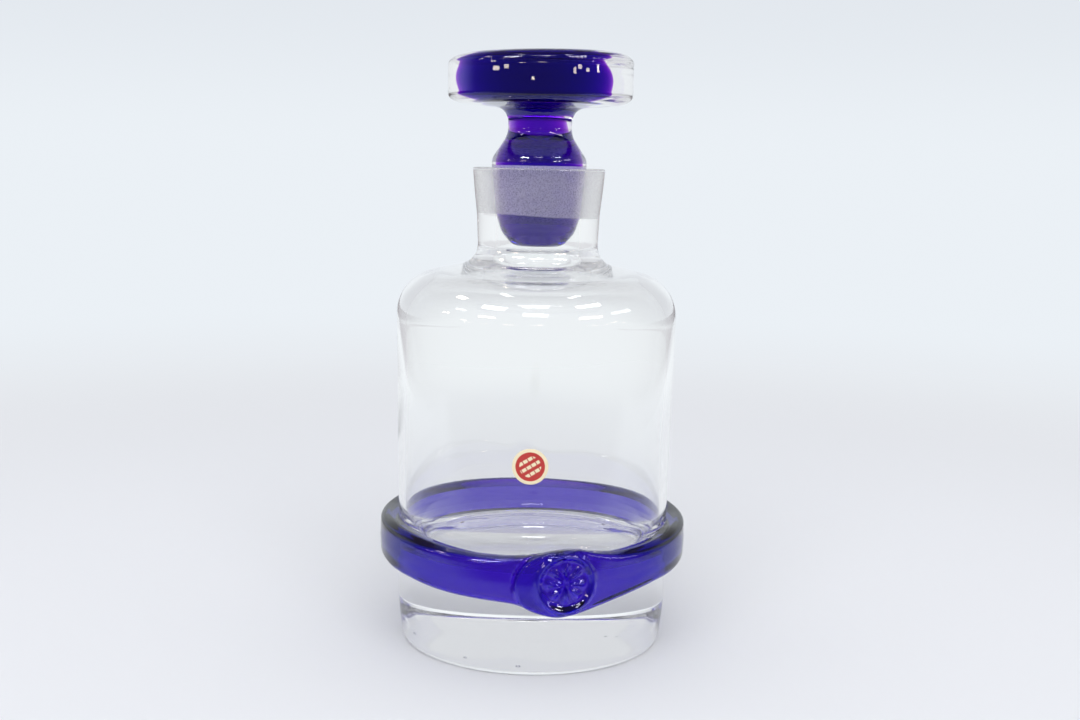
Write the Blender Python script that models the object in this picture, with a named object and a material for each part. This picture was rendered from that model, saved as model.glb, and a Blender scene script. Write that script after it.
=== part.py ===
"""Glass carafe: a square-shouldered bottle with a coloured strap, a stamped seal, a label and a cased stopper.

All sizes are in metres. The origin is the middle of the underside, +Z is up and -Y is the front.
An azimuth is measured round the bottle from the front, towards +X.
"""

import math

import bmesh
import bpy

# Gap kept between two pieces that touch or are fused on the real carafe
CONTACT_GAP = 0.0003

# Bottle: outer shape
BASE_RADIUS = 0.0531
BODY_RADIUS = 0.0548
HEEL_ROUND = 0.0070
SHOULDER_HEIGHT = 0.1427
SHOULDER_RISE = 0.0077
SHOULDER_ROUND = 0.0170
NECK_HEIGHT = 0.0358
NECK_FILLET = 0.0080
MOUTH_BAND_HEIGHT = 0.0180
MOUTH_BAND_BLEND = 0.0300
LIP_ROUND = 0.0009

# Bottle: walls and inner shape
BODY_WALL = 0.0032
SHOULDER_WALL = 0.0032
NECK_WALL = 0.0067
BAND_FOOT_WALL = 0.0073
MOUTH_WALL = 0.0071
FLOOR_HEIGHT = 0.0368
FLOOR_ROUND = 0.0210
SEAT_FOOT_ROUND = 0.0200
NECK_INNER_ROUND = 0.0070

# Stopper: the ground plug, the nose below it and the waist above it
PLUG_RADIUS = 0.0183
PLUG_TAPER = 0.0020
SEAT_LENGTH = 0.0178
NOSE_LENGTH = 0.0120
NOSE_RADIUS = 0.0085
NOSE_ROUND = 0.0060
NOSE_END_ROUND = 0.0030
PLUG_SHOULDER_RISE = 0.0032
PLUG_SHOULDER_ROUND = 0.0060
WAIST_RADIUS = 0.0124
WAIST_LOW = 0.0125
WAIST_ROUND = 0.0090
WAIST_FILLET = 0.0065

# Stopper: the disc-shaped head
HEAD_RADIUS = 0.0357
HEAD_THICKNESS = 0.0195
HEAD_RISE = 0.0240
HEAD_EDGE_ACROSS = 0.0078
HEAD_EDGE_UP = 0.0041
HEAD_UNDER_DISH = 0.0012

# Stopper: the coloured core inside the clear casing
CORE_DISC_RADIUS = 0.0198
CORE_DISC_COVER = 0.0012
CORE_EDGE_ACROSS = 0.0062
CORE_WAIST_COVER = 0.0048
CORE_PLUG_COVER = 0.0072
CORE_NOSE_ROUND = 0.0060
CORE_END_RADIUS = 0.0056
CORE_FILLET = 0.0050

# Strap: a trail of coloured glass wound once round the body
STRAP_MIDDLE = 0.0422
STRAP_HEIGHT = 0.0158
STRAP_DEPTH = 0.0068
STRAP_ROUND = 0.0032
STRAP_DIP = 0.0040
STRAP_DIP_SPREAD_DEG = 50.0
STRAP_FLARE = 0.0024
STRAP_FLARE_SPREAD_DEG = 13.0

# Seal: an oval gob of the same glass, stamped over the place where the strap's ends meet
SEAL_AZIMUTH_DEG = 10.5
SEAL_HALF_WIDTH = 0.0143
SEAL_HALF_HEIGHT = 0.0121
SEAL_DEPTH = 0.0080
SEAL_EDGE_ROUND = 0.0030
SEAL_STAMP_SHIFT = 0.0016
SEAL_RING_RADIUS = 0.0100
SEAL_RING_WIDTH = 0.0018
SEAL_RING_HEIGHT = 0.0009
SEAL_PETAL_LENGTH = 0.0080
SEAL_PETAL_HEIGHT = 0.0007
SEAL_PETALS = 8

# Label: a small round paper sticker on the front
LABEL_AZIMUTH_DEG = -1.05
LABEL_HEIGHT = 0.0798
LABEL_RADIUS = 0.0066
LABEL_THICKNESS = 0.0002

# Colours
CLEAR_COLOUR = (0.93, 0.95, 0.97)
COBALT_COLOUR = (0.05, 0.02, 0.42)
PAPER_COLOUR = (0.78, 0.68, 0.46)

# How finely round shapes are divided
BOTTLE_SIDES = 48
STOPPER_SIDES = 40
STRAP_STEPS = 64
STRAP_FACE_STEPS = 3
STRAP_EDGE_STEPS = 3
SEAL_SIDES = 40
SEAL_RINGS = 8
SEAL_BACK_RINGS = 4
LABEL_SIDES = 28
ARC_STEP_DEG = 22.5
OVAL_STEPS = 5
SMOOTH_BELOW_DEG = 40.0


def clear_scene():
    for old in list(bpy.data.objects):
        bpy.data.objects.remove(old, do_unlink=True)


def plain_material(name, colour, roughness, transmission):
    """A Principled material with one colour all over."""
    material = bpy.data.materials.new(name)
    material.use_nodes = True
    shader = material.node_tree.nodes["Principled BSDF"]
    shader.inputs["Base Color"].default_value = (*colour, 1.0)
    shader.inputs["Roughness"].default_value = roughness
    shader.inputs["Metallic"].default_value = 0.0
    shader.inputs["Transmission Weight"].default_value = transmission
    material.diffuse_color = (*colour, 1.0)
    return material


def named_object(name, mesh_data, material, parent=None):
    """Makes an object of a bmesh whose points are in world space, with its origin at its parent."""
    if parent:
        bmesh.ops.translate(mesh_data, verts=mesh_data.verts, vec=-parent.location)
    mesh = bpy.data.meshes.new(name)
    mesh_data.to_mesh(mesh)
    mesh_data.free()
    mesh.materials.append(material)
    mesh.shade_smooth()
    mesh.set_sharp_from_angle(angle=math.radians(SMOOTH_BELOW_DEG))
    piece = bpy.data.objects.new(name, mesh)
    piece.parent = parent
    bpy.context.scene.collection.objects.link(piece)
    return piece


def rounded(corners):
    """Outline through corners of (x, z, radius). An arc takes at most half of each side that it joins."""
    outline = []
    for index, (x, z, radius) in enumerate(corners):
        if radius == 0 or index in (0, len(corners) - 1):
            outline.append((x, z))
            continue
        back = (corners[index - 1][0] - x, corners[index - 1][1] - z)
        on = (corners[index + 1][0] - x, corners[index + 1][1] - z)
        back_length = math.hypot(*back)
        on_length = math.hypot(*on)
        back = (back[0] / back_length, back[1] / back_length)
        on = (on[0] / on_length, on[1] / on_length)
        half_angle = math.acos(back[0] * on[0] + back[1] * on[1]) / 2
        reach = min(radius / math.tan(half_angle), back_length / 2, on_length / 2)
        to_centre = reach / math.cos(half_angle)
        middle = (back[0] + on[0], back[1] + on[1])
        middle_length = math.hypot(*middle)
        centre_x = x + middle[0] / middle_length * to_centre
        centre_z = z + middle[1] / middle_length * to_centre
        first = math.atan2(z + back[1] * reach - centre_z, x + back[0] * reach - centre_x)
        last = math.atan2(z + on[1] * reach - centre_z, x + on[0] * reach - centre_x)
        turn = (last - first + math.pi) % math.tau - math.pi
        steps = max(2, round(abs(math.degrees(turn)) / ARC_STEP_DEG))
        arc_radius = reach * math.tan(half_angle)
        for step in range(steps + 1):
            angle = first + turn * step / steps
            arc_x = centre_x + arc_radius * math.cos(angle)
            arc_z = centre_z + arc_radius * math.sin(angle)
            outline.append((arc_x, arc_z))
    return outline


def oval_edge(radius, height, across, up, first_deg):
    """Quarter of an oval as corners of (x, z, 0), for an edge that reaches out to radius and up to height."""
    corners = []
    for step in range(OVAL_STEPS + 1):
        angle = math.radians(first_deg - 90 * step / OVAL_STEPS)
        x = radius - across + across * math.cos(angle)
        corners.append((x, height + up * math.sin(angle), 0))
    return corners


def turned(outline, sides):
    """Closed solid of revolution about Z. Its outline starts and ends on the axis, with the solid on its left."""
    body = bmesh.new()
    rings = []
    for radius, height in outline:
        if radius == 0:
            rings.append([body.verts.new((0, 0, height))])
            continue
        ring = []
        for side in range(sides):
            angle = math.tau * side / sides
            ring.append(body.verts.new((radius * math.cos(angle), radius * math.sin(angle), height)))
        rings.append(ring)
    for lower, upper in zip(rings, rings[1:]):
        bridge(body, lower, upper)
    return body


def bridge(body, lower, upper):
    """Faces between two rings, or between a ring and the single point that closes it."""
    sides = max(len(lower), len(upper))
    for side in range(sides):
        after = (side + 1) % sides
        corners = [
            lower[side % len(lower)],
            lower[after % len(lower)],
            upper[after % len(upper)],
            upper[side % len(upper)],
        ]
        body.faces.new(list(dict.fromkeys(corners)))


def body_radius_at(height):
    """Outer radius of the bottle's slightly tapered wall."""
    return BASE_RADIUS + (BODY_RADIUS - BASE_RADIUS) * height / SHOULDER_HEIGHT


def on_body(azimuth, height, depth):
    """Point that stands off the bottle's wall by depth."""
    radius = body_radius_at(height) + depth
    return (radius * math.sin(azimuth), -radius * math.cos(azimuth), height)


# Heights that follow from the sizes above
NECK_FOOT = SHOULDER_HEIGHT + SHOULDER_RISE
RIM_HEIGHT = NECK_FOOT + NECK_HEIGHT
SEAT_FOOT = RIM_HEIGHT - SEAT_LENGTH
PLUG_END = SEAT_FOOT - NOSE_LENGTH
HEAD_UNDERSIDE = RIM_HEIGHT + HEAD_RISE
HEAD_TOP = HEAD_UNDERSIDE + HEAD_THICKNESS


def plug_radius_at(height):
    """The ground part of the plug is a slow cone that carries on above the bottle's rim."""
    return PLUG_RADIUS - PLUG_TAPER * (RIM_HEIGHT - height) / SEAT_LENGTH


def bore_radius_at(height):
    """The bore follows the plug's seat and runs straight below it."""
    return plug_radius_at(max(height, SEAT_FOOT)) + CONTACT_GAP


def bottle():
    """Thick base, straight body, square shoulder, short neck and the tapered bore that takes the plug."""
    band_foot = RIM_HEIGHT - MOUTH_BAND_HEIGHT
    mouth_radius = bore_radius_at(RIM_HEIGHT) + MOUTH_WALL
    band_foot_radius = bore_radius_at(band_foot) + BAND_FOOT_WALL
    neck_radius = bore_radius_at(NECK_FOOT) + NECK_WALL
    inner_shoulder = SHOULDER_HEIGHT - SHOULDER_WALL
    bore_foot = inner_shoulder + SHOULDER_RISE
    outline = rounded(
        [
            (0, 0, 0),
            (BASE_RADIUS, 0, HEEL_ROUND),
            (BODY_RADIUS, SHOULDER_HEIGHT, SHOULDER_ROUND),
            (neck_radius, NECK_FOOT, NECK_FILLET),
            (band_foot_radius, band_foot, MOUTH_BAND_BLEND),
            (mouth_radius, RIM_HEIGHT, LIP_ROUND),
            (bore_radius_at(RIM_HEIGHT), RIM_HEIGHT, LIP_ROUND),
            (bore_radius_at(SEAT_FOOT), SEAT_FOOT, SEAT_FOOT_ROUND),
            (bore_radius_at(bore_foot), bore_foot, NECK_INNER_ROUND),
            (BODY_RADIUS - BODY_WALL, inner_shoulder, SHOULDER_ROUND - BODY_WALL),
            (body_radius_at(FLOOR_HEIGHT) - BODY_WALL, FLOOR_HEIGHT, FLOOR_ROUND),
            (0, FLOOR_HEIGHT, 0),
        ]
    )
    return turned(outline, BOTTLE_SIDES)


def core_outline(grow):
    """Outline of the coloured core, from the top of its disc down to the plug's end, grown all round."""
    disc_top = HEAD_TOP - CORE_DISC_COVER + grow
    disc_foot = HEAD_UNDERSIDE + CORE_DISC_COVER - grow
    disc_middle = (disc_top + disc_foot) / 2
    disc_half = (disc_top - disc_foot) / 2
    disc_radius = CORE_DISC_RADIUS + grow
    edge_across = CORE_EDGE_ACROSS + grow
    waist_radius = WAIST_RADIUS - CORE_WAIST_COVER + grow
    waist_foot = RIM_HEIGHT + WAIST_LOW
    plug_top = RIM_HEIGHT + PLUG_SHOULDER_RISE
    plug_cover = CORE_PLUG_COVER - grow
    return [
        (0, disc_top, 0),
        *oval_edge(disc_radius, disc_middle, edge_across, disc_half, 90),
        *oval_edge(disc_radius, disc_middle, edge_across, disc_half, 0)[1:],
        (waist_radius, disc_foot, CORE_FILLET),
        (waist_radius, waist_foot, WAIST_ROUND),
        (plug_radius_at(plug_top) - plug_cover, plug_top, PLUG_SHOULDER_ROUND),
        (plug_radius_at(SEAT_FOOT) - plug_cover, SEAT_FOOT, CORE_NOSE_ROUND),
        (CORE_END_RADIUS + grow, PLUG_END, 0),
    ]


def stopper_core():
    """Coloured glass gathered first: a disc for the head, a waist, and a plug whose end is left bare."""
    outline = rounded([*core_outline(0), (0, PLUG_END, 0)])
    return turned(outline[::-1], STOPPER_SIDES)


def stopper_casing():
    """Clear glass over the core: head, waist, ground plug and its nose, open only at the nose's end."""
    plug_top = RIM_HEIGHT + PLUG_SHOULDER_RISE
    edge_top = HEAD_TOP - HEAD_EDGE_UP
    edge_foot = HEAD_UNDERSIDE + HEAD_EDGE_UP
    outer = [
        (0, HEAD_TOP, 0),
        *oval_edge(HEAD_RADIUS, edge_top, HEAD_EDGE_ACROSS, HEAD_EDGE_UP, 90),
        *oval_edge(HEAD_RADIUS, edge_foot, HEAD_EDGE_ACROSS, HEAD_EDGE_UP, 0),
        (WAIST_RADIUS, HEAD_UNDERSIDE - HEAD_UNDER_DISH, WAIST_FILLET),
        (WAIST_RADIUS, RIM_HEIGHT + WAIST_LOW, WAIST_ROUND),
        (plug_radius_at(plug_top), plug_top, PLUG_SHOULDER_ROUND),
        (plug_radius_at(SEAT_FOOT), SEAT_FOOT, NOSE_ROUND),
        (NOSE_RADIUS, PLUG_END, NOSE_END_ROUND),
    ]
    inner = rounded(core_outline(CONTACT_GAP))[::-1]
    outline = rounded([*outer, (*inner[0], 0)])[:-1] + inner
    return turned(outline[::-1], STOPPER_SIDES)


def strap_levels(turn_from_seal):
    """Section across the strap, from low to high, as (height, depth of the outer face) points."""
    dip = STRAP_DIP * math.exp(-((turn_from_seal / STRAP_DIP_SPREAD_DEG) ** 2))
    flare = STRAP_FLARE * math.exp(-((turn_from_seal / STRAP_FLARE_SPREAD_DEG) ** 2))
    middle = STRAP_MIDDLE - dip
    half = STRAP_HEIGHT / 2 + flare
    edge_round = min(STRAP_ROUND, half, STRAP_DEPTH - CONTACT_GAP)
    straight = half - edge_round
    upper = []
    for step in range(1, STRAP_FACE_STEPS + 1):
        upper.append((straight * step / STRAP_FACE_STEPS, STRAP_DEPTH))
    for step in range(1, STRAP_EDGE_STEPS + 1):
        angle = math.pi / 2 * step / STRAP_EDGE_STEPS
        depth = STRAP_DEPTH - edge_round * (1 - math.cos(angle))
        upper.append((straight + edge_round * math.sin(angle), depth))
    lower = [(-rise, depth) for rise, depth in reversed(upper)]
    return [(middle + rise, depth) for rise, depth in [*lower, (0, STRAP_DEPTH), *upper]]


def seal_middle():
    return STRAP_MIDDLE - STRAP_DIP


def seal_half_turn_at(height):
    """Half of the angle that the seal and the gap beside it take up at this height."""
    rise = (height - seal_middle()) / (SEAL_HALF_HEIGHT + CONTACT_GAP)
    half_width = (SEAL_HALF_WIDTH + CONTACT_GAP) * math.sqrt(max(0, 1 - rise**2))
    return (half_width + CONTACT_GAP) / body_radius_at(height)


def strap():
    """One turn of trailed glass whose two ends stop at the round edge of the seal."""
    body = bmesh.new()
    seal_azimuth = math.radians(SEAL_AZIMUTH_DEG)
    rings = []
    for step in range(STRAP_STEPS + 1):
        share = step / STRAP_STEPS
        turn_from_seal = min(share, 1 - share) * 360
        inner = []
        outer = []
        for height, depth in strap_levels(turn_from_seal):
            half_turn = seal_half_turn_at(height)
            azimuth = seal_azimuth + half_turn + share * (math.tau - 2 * half_turn)
            inner.append(body.verts.new(on_body(azimuth, height, CONTACT_GAP)))
            outer.append(body.verts.new(on_body(azimuth, height, depth)))
        rings.append((inner, outer))
    for first, second in zip(rings, rings[1:]):
        bridge(body, first[0] + first[1][::-1], second[0] + second[1][::-1])
    for inner, outer in (rings[0][::-1], rings[-1]):
        for level in range(len(inner) - 1):
            body.faces.new([inner[level], inner[level + 1], outer[level + 1], outer[level]])
    return body


def seal_face_depth(across, up):
    """Depth of the stamped face: a raised ring round a rosette of plain petals, beside the gob's middle."""
    distance = math.hypot(across - SEAL_STAMP_SHIFT, up)
    angle = math.atan2(up, across - SEAL_STAMP_SHIFT)
    from_ring = abs(distance - SEAL_RING_RADIUS) / SEAL_RING_WIDTH
    ring = SEAL_RING_HEIGHT * math.exp(-(from_ring**2))
    along = min(1, distance / SEAL_PETAL_LENGTH)
    petal = SEAL_PETAL_HEIGHT * math.sin(math.pi * along) * (1 + math.cos(SEAL_PETALS * angle)) / 2
    return SEAL_DEPTH + ring + petal


def seal():
    """Oval stamped gob, thick enough to reach from the body to just proud of the strap."""
    body = bmesh.new()
    middle = seal_middle()
    seal_azimuth = math.radians(SEAL_AZIMUTH_DEG)
    curve_radius = body_radius_at(middle) + SEAL_DEPTH

    def ring_at(inset, spread, depth=None):
        """Oval ring, inset from the edge and drawn in towards the stamp. No depth means the stamped face."""
        ring = []
        for side in range(SEAL_SIDES if spread else 1):
            angle = math.tau * side / SEAL_SIDES
            across = (SEAL_HALF_WIDTH - inset) * math.cos(angle) * spread
            across += SEAL_STAMP_SHIFT * (1 - spread)
            up = (SEAL_HALF_HEIGHT - inset) * math.sin(angle) * spread
            off = seal_face_depth(across, up) if depth is None else depth
            azimuth = seal_azimuth + across / curve_radius
            ring.append(body.verts.new(on_body(azimuth, middle + up, off)))
        return ring

    rings = []
    for index in range(SEAL_RINGS + 1):
        rings.append(ring_at(SEAL_EDGE_ROUND, index / SEAL_RINGS))
    edge = rounded(
        [
            (SEAL_EDGE_ROUND, SEAL_DEPTH, 0),
            (0, SEAL_DEPTH, SEAL_EDGE_ROUND),
            (0, CONTACT_GAP, 0),
        ]
    )
    for inset, depth in edge[2:]:
        rings.append(ring_at(inset, 1, depth))
    for index in range(SEAL_BACK_RINGS):
        rings.append(ring_at(0, (SEAL_BACK_RINGS - 1 - index) / SEAL_BACK_RINGS, CONTACT_GAP))
    for inner, outer in zip(rings, rings[1:]):
        bridge(body, outer, inner)
    return body


def label():
    """Thin paper disc that follows the curve of the body."""
    body = bmesh.new()
    label_azimuth = math.radians(LABEL_AZIMUTH_DEG)
    curve_radius = body_radius_at(LABEL_HEIGHT)
    front = CONTACT_GAP + LABEL_THICKNESS
    rings = []
    for distance, depth in (
        (0, front),
        (LABEL_RADIUS / 2, front),
        (LABEL_RADIUS, front),
        (LABEL_RADIUS, CONTACT_GAP),
        (LABEL_RADIUS / 2, CONTACT_GAP),
        (0, CONTACT_GAP),
    ):
        ring = []
        for side in range(LABEL_SIDES if distance else 1):
            angle = math.tau * side / LABEL_SIDES
            azimuth = label_azimuth + distance * math.cos(angle) / curve_radius
            height = LABEL_HEIGHT + distance * math.sin(angle)
            ring.append(body.verts.new(on_body(azimuth, height, depth)))
        rings.append(ring)
    for inner, outer in zip(rings, rings[1:]):
        bridge(body, outer, inner)
    return body


def build():
    clear_scene()
    clear_glass = plain_material("clear_glass", CLEAR_COLOUR, 0.03, 1.0)
    casing_glass = plain_material("casing_glass", CLEAR_COLOUR, 0.03, 1.0)
    core_glass = plain_material("core_glass", COBALT_COLOUR, 0.05, 0.6)
    strap_glass = plain_material("strap_glass", COBALT_COLOUR, 0.05, 0.6)
    seal_glass = plain_material("seal_glass", COBALT_COLOUR, 0.05, 0.6)
    label_paper = plain_material("label_paper", PAPER_COLOUR, 0.6, 0.0)

    named_object("bottle", bottle(), clear_glass)
    named_object("strap", strap(), strap_glass)
    named_object("seal", seal(), seal_glass)
    named_object("label", label(), label_paper)

    # The stopper's two pieces hang from an empty on the axis along which the stopper lifts out.
    lift = bpy.data.objects.new("stopper_lift", None)
    lift.location = (0, 0, RIM_HEIGHT)
    bpy.context.scene.collection.objects.link(lift)
    named_object("stopper_casing", stopper_casing(), casing_glass, lift)
    named_object("stopper_core", stopper_core(), core_glass, lift)


build()
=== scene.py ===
# %% [markdown]
# # A glass carafe with a cobalt strap
#
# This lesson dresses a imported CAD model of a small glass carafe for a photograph. The bottle is
# clear glass with a very thick base, a strap of cobalt glass is wound round its foot and stamped
# with a seal, and the stopper is cobalt glass cased in clear glass.
#
# Glass has almost no looks of its own: it shows its surroundings, bent by its shape. So most of
# the work here is in smooth, exact meshes and in a believable studio, and little is in colour.
# Lengths are in metres. The carafe stands on z = 0, and -Y is its front.

import math

import bmesh
import bpy
import numpy as np
from mathutils import Matrix, Vector


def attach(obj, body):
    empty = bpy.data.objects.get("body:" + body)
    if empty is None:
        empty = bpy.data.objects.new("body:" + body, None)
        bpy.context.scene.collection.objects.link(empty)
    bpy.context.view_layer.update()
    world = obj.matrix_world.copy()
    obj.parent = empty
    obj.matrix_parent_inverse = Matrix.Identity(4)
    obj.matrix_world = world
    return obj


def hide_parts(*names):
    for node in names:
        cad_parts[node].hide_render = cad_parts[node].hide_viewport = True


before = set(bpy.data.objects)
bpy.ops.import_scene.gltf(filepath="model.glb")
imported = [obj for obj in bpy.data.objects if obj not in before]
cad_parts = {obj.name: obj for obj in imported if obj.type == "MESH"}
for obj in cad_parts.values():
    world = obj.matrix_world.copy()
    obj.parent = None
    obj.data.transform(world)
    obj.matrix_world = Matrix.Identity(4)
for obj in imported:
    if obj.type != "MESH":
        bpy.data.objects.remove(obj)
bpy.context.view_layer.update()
MM = 0.001

# %% [markdown]
# ## A short way to write shader nodes
#
# A material is a graph of nodes. Written out call by call it is hard to read, so one small class
# wraps an output of a node. Python's own operators on it add Math nodes, so `1 - mask` reads as
# it does on paper. Every other kind of node comes from one method, which sets the node's
# settings first and then its sockets, because some settings change which sockets there are.

# %% The class that wraps a socket
class Signal:
    """An output of a shader node. Arithmetic on it adds Math nodes."""

    def __init__(self, tree, socket=None):
        self.tree = tree
        self.socket = socket

    def node(self, kind, settings=None, sockets=None, output=0):
        """Adds a node, sets its settings and then its sockets, and returns one of its outputs."""
        made = self.tree.nodes.new(kind)
        for name, value in (settings or {}).items():
            setattr(made, name, value)
        for name, value in (sockets or {}).items():
            self.feed(made.inputs[name], value)
        return Signal(self.tree, made.outputs[output]) if made.outputs else None

    def feed(self, target, value):
        """Links a signal to a socket, or sets the socket to a plain value."""
        if isinstance(value, Signal):
            self.tree.links.new(value.socket, target)
        elif isinstance(value, tuple) and len(value) == 3 and target.type == "RGBA":
            target.default_value = (*value, 1)
        else:
            target.default_value = value

    def maths(self, operation, *values):
        """Adds a Math node for an operation that Python has no sign for."""
        return self.node("ShaderNodeMath", {"operation": operation}, dict(enumerate(values)))

    def __add__(self, other):
        return self.maths("ADD", self, other)

    def __sub__(self, other):
        return self.maths("SUBTRACT", self, other)

    def __mul__(self, other):
        return self.maths("MULTIPLY", self, other)

    def __truediv__(self, other):
        return self.maths("DIVIDE", self, other)

    def __radd__(self, other):
        return self.maths("ADD", other, self)

    def __rsub__(self, other):
        return self.maths("SUBTRACT", other, self)

    def __rmul__(self, other):
        return self.maths("MULTIPLY", other, self)

    def __rtruediv__(self, other):
        return self.maths("DIVIDE", other, self)

    def rise(self, low, high):
        """A smooth step from 0 at low to 1 at high."""
        return self.node(
            "ShaderNodeMapRange",
            {"interpolation_type": "SMOOTHSTEP"},
            {"Value": self, "From Min": low, "From Max": high},
        )


def split(vector):
    """The x, y and z of a vector signal."""
    return [vector.node("ShaderNodeSeparateXYZ", None, {0: vector}, axis) for axis in range(3)]


def length(across, up):
    """The distance of a place from the middle, from its two coordinates."""
    squared = across * across + up * up
    return squared.maths("SQRT", squared)


# The Mix node has its sockets once for each kind of value. These are the ones for colours.
MIX_FIRST, MIX_SECOND, MIX_RESULT = 6, 7, 2


def mixed(factor, first, second):
    """A colour between two others."""
    owner = next(value for value in (factor, first, second) if isinstance(value, Signal))
    return owner.node(
        "ShaderNodeMix",
        {"data_type": "RGBA"},
        {"Factor": factor, MIX_FIRST: first, MIX_SECOND: second},
        output=MIX_RESULT,
    )


def new_material(name):
    """An empty material, and the signal that its nodes start from."""
    material = bpy.data.materials.new(name)
    material.use_nodes = True
    material.node_tree.nodes.clear()
    return material, Signal(material.node_tree)


# %% [markdown]
# ## The camera
#
# The picture was taken a little from above, at arm's length. The focal length, place and tilt
# were worked out from the ellipse of the base, the rim seen edge-on and the upright sides, for an
# image of 1080 by 720. Blender's camera looks along its own -Z, so a quarter turn about X makes
# it look along +Y, less the tilt. The slight roll is put on last, about the line of sight.

# %% The camera at the photograph's angle
IMAGE_WIDTH_PX = 1080
FOCAL_LENGTH_PX = 1400
CAMERA_PLACE = (0.00179, -0.5488, 0.19131)
CAMERA_TILT = 0.14545
CAMERA_ROLL = 0.01973

camera_data = bpy.data.cameras.new("camera")
camera_data.lens = camera_data.sensor_width * FOCAL_LENGTH_PX / IMAGE_WIDTH_PX
camera = bpy.data.objects.new("camera", camera_data)
camera.location = CAMERA_PLACE
tilt = Matrix.Rotation(math.pi / 2 - CAMERA_TILT, 3, "X")
camera.rotation_euler = (tilt @ Matrix.Rotation(CAMERA_ROLL, 3, "Z")).to_euler()
bpy.context.scene.collection.objects.link(camera)
bpy.context.scene.camera = camera
bpy.context.scene.view_settings.view_transform = "Standard"
print("lens in mm:", round(camera_data.lens, 2))

# %% [markdown]
# ## The studio
#
# The carafe stands on a pale sheet that sweeps up behind it. A sheet wide enough to fill every
# view would have a visible end, so a large floor is used that fades into the world's colour.
#
# What makes clear glass readable is that its surroundings are not the same all round. So the
# world answers each kind of ray in its own way. The camera sees the plain backdrop, and the floor
# gets plain daylight. Rays that the glass has sent on see the room as well: those that it mirrors
# see it dark, in front of the sheet and overhead, and those that come through it see it pale.

# %% The world: a pale backdrop and a room round it
SHEET_NEAR = (0.775, 0.79, 0.825)
SHEET_FAR = (0.83, 0.875, 0.92)
SHEET_TOP = (0.77, 0.81, 0.86)
SHEET_THROUGH = (0.69, 0.705, 0.735)
FLOOR_THROUGH = (0.93, 0.965, 0.99)
DAYLIGHT = (0.76, 0.765, 0.78)
ROOM_REFLECTED = (0.17, 0.13, 0.15)
ROOM_REFRACTED = (0.78, 0.79, 0.82)
# Where each smooth step between two of these starts and ends, on a direction of length 1.
BACKDROP_RISE = (0.0, 0.12)
THROUGH_RISE = (0.05, 0.22)
SHEET_TURN = (-0.1, 0.45)
CEILING_RISE = (0.35, 0.75)
# Outputs by number: of the Texture Coordinate, Geometry and Light Path nodes.
GENERATED, OBJECT = 0, 3
POSITION = 0
IS_CAMERA, IS_GLOSSY, IS_TRANSMISSION = 0, 3, 6


def ray_is(signal, kind):
    """1 for rays of one kind, such as those of the camera."""
    return signal.node("ShaderNodeLightPath", output=kind)


world = bpy.data.worlds.new("studio")
bpy.context.scene.world = world
world.use_nodes = True
world.node_tree.nodes.clear()
sky = Signal(world.node_tree)
toward_x, toward_y, toward_z = split(sky.node("ShaderNodeTexCoord", output=GENERATED))
backdrop = mixed(toward_z.rise(*BACKDROP_RISE), SHEET_FAR, SHEET_TOP)
off_sheet = 1 - toward_y.rise(*SHEET_TURN)
ceiling = off_sheet.maths("MAXIMUM", off_sheet, toward_z.rise(*CEILING_RISE))
mirrored = mixed(ceiling, backdrop, ROOM_REFLECTED)
sheet_through = mixed(toward_z.rise(*THROUGH_RISE), FLOOR_THROUGH, SHEET_THROUGH)
refracted = mixed(off_sheet, sheet_through, ROOM_REFRACTED)
by_glass = mixed(ray_is(sky, IS_TRANSMISSION), mirrored, refracted)
from_glass = ray_is(sky, IS_GLOSSY) + ray_is(sky, IS_TRANSMISSION)
by_floor = mixed(ray_is(sky, IS_CAMERA), DAYLIGHT, backdrop)
seen = mixed(from_glass, by_floor, by_glass)
background = sky.node("ShaderNodeBackground", None, {"Color": seen, "Strength": 1.0})
sky.node("ShaderNodeOutputWorld", None, {"Surface": background})

# %% [markdown]
# The floor is lit near the carafe, so that it takes the soft shadow, and glows by itself farther
# off, where it must meet the backdrop without a line. Seen through the glass, the paper near the
# carafe gets painted light as well: a glow that stands in for the light that the glass gathers
# onto it, except in a ring round the base. The base's upper half looks at that ring, and its real
# shade is the dark band there. The sheet ends a hand's width before the carafe, and past that
# edge the rays that the glass sends on meet the room.

# %% The floor
FLOOR_HALF = 6.0
FLOOR_DROP = 0.3 * MM
SHEET_FRONT = -0.16
SHEET_HALF_WIDTH = 0.55
SHEET_FADE = 0.05
# Painted light: how strongly the paper near and under the carafe glows where it is seen through the
# glass.
PAINTED_LIGHT_THROUGH_GLASS = 0.6
# Distances from the carafe's axis between which each thing comes or goes.
NEAR_TO_FAR = (0.3, 1.2)
NEAR_TO_THROUGH = (0.2, 0.7)
LIT_TO_GLOWING = (0.25, 0.8)
SHADE_COMES = (49 * MM, 54 * MM)
SHADE_GOES = (72 * MM, 120 * MM)

floor_paper, start = new_material("floor_paper")
ground_x, ground_y, ground_z = split(start.node("ShaderNodeNewGeometry", output=POSITION))
away = length(ground_x, ground_y)
lit = start.node("ShaderNodeBsdfDiffuse", None, {"Color": SHEET_NEAR})
glow_colour = mixed(away.rise(*NEAR_TO_FAR), SHEET_NEAR, SHEET_FAR)
seen_through = ray_is(start, IS_TRANSMISSION) * away.rise(*NEAR_TO_THROUGH)
glow_colour = mixed(seen_through, glow_colour, FLOOR_THROUGH)
glow = start.node("ShaderNodeEmission", None, {"Color": glow_colour})
shaded = away.rise(*SHADE_COMES) * (1 - away.rise(*SHADE_GOES))
# Painted light: seen through the glass, the paper glows, standing in for light that the glass brings
# onto it, except in the ring round the base.
painted_light_through_glass = ray_is(start, IS_TRANSMISSION) * (1 - shaded) * PAINTED_LIGHT_THROUGH_GLASS
glowing = away.maths("MAXIMUM", away.rise(*LIT_TO_GLOWING), painted_light_through_glass)
paper = start.node("ShaderNodeMixShader", None, {0: glowing, 1: lit, 2: glow})
aside = ground_x.maths("ABSOLUTE", ground_x)
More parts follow.
